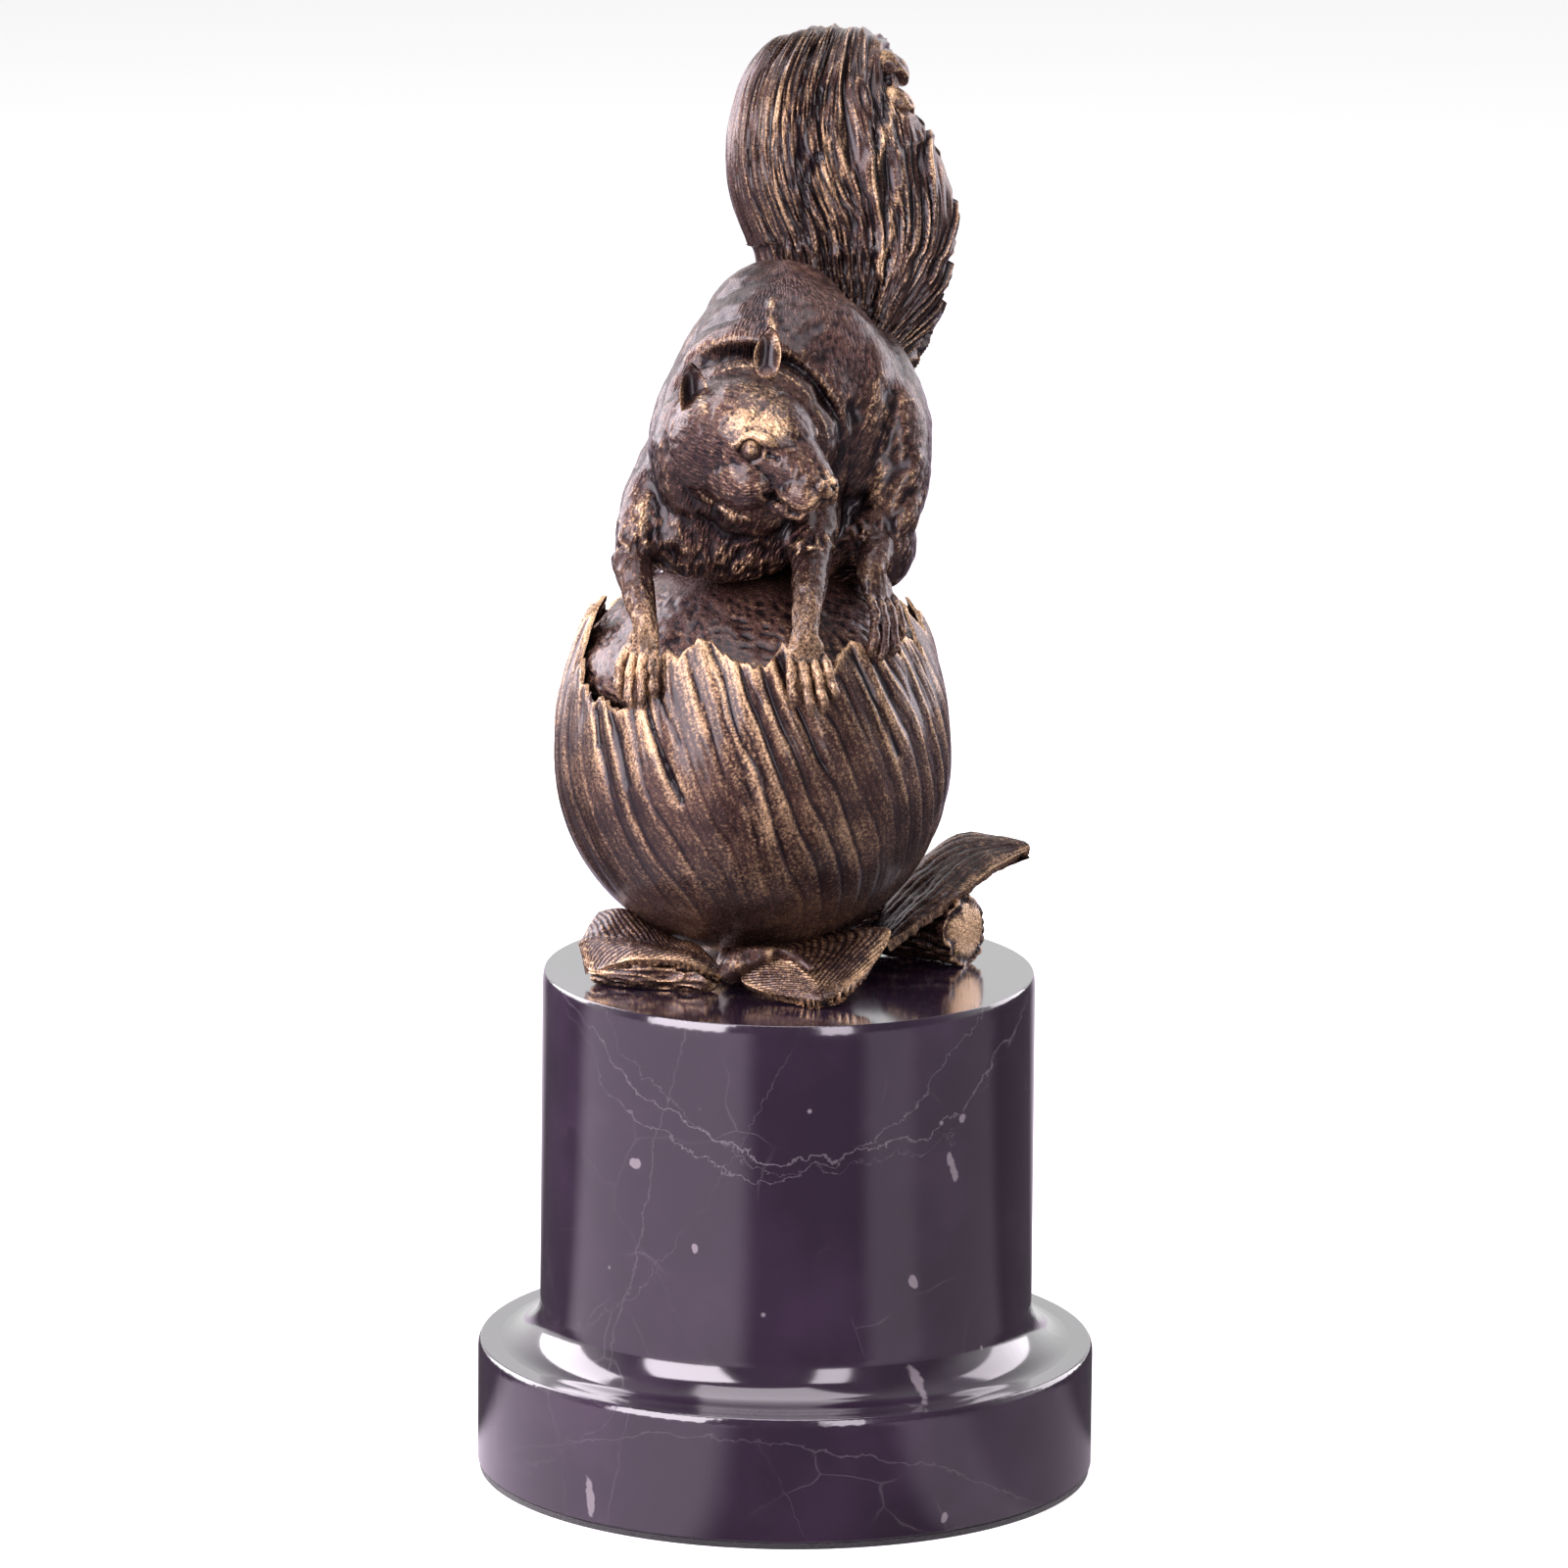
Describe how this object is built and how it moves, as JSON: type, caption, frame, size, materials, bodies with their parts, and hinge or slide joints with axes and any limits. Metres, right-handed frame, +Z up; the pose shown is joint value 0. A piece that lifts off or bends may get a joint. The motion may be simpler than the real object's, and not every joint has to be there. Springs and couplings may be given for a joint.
{
  "type": "squirrel figurine",
  "caption": "Cast bronze squirrel crouched on an open hazelnut with leaves, bolted to a turned black marble base with a felt pad.",
  "frame": {"origin": "centre of the underside of the round base", "axes": "+Z up, -Y is the front that the squirrel faces, +X is to the right seen from the front"},
  "size_m": [0.11, 0.11, 0.2547],
  "materials": {
    "felt": "dense black felt",
    "marble": "polished black marble with pale veins",
    "zinc_steel": "zinc plated",
    "bronze_twig": "dark brown patina over cast bronze, bark texture, rubbed cut end",
    "bronze_leaf": "dark brown patina over cast bronze, ribbed, rubbed bright on edges",
    "bronze_husk": "brown patina over cast bronze, long ribs, golden on raised parts",
    "bronze_kernel": "darkest brown patina, leathery cast texture",
    "bronze_fur": "brown patina over cast bronze, chased fur, rubbed gold on brow and nose",
    "bronze_tail": "brown patina over cast bronze, long chased hair",
    "bronze_paw": "brown patina rubbed to gold on the fingers"
  },
  "bodies": {
    "root": {"felt_pad": "felt", "marble_plinth": "marble", "mounting_stud": "zinc_steel", "plain_washer": "zinc_steel", "hex_nut": "zinc_steel", "twig": "bronze_twig", "leaf_left": "bronze_leaf", "leaf_front": "bronze_leaf", "leaf_rear": "bronze_leaf", "nut_husk": "bronze_husk", "nut_kernel": "bronze_kernel", "torso": "bronze_fur", "head": "bronze_fur", "tail": "bronze_tail", "foreleg_left": "bronze_paw", "foreleg_right": "bronze_paw", "hind_leg_left": "bronze_paw", "hind_leg_right": "bronze_paw"}
  },
  "joints": []
}
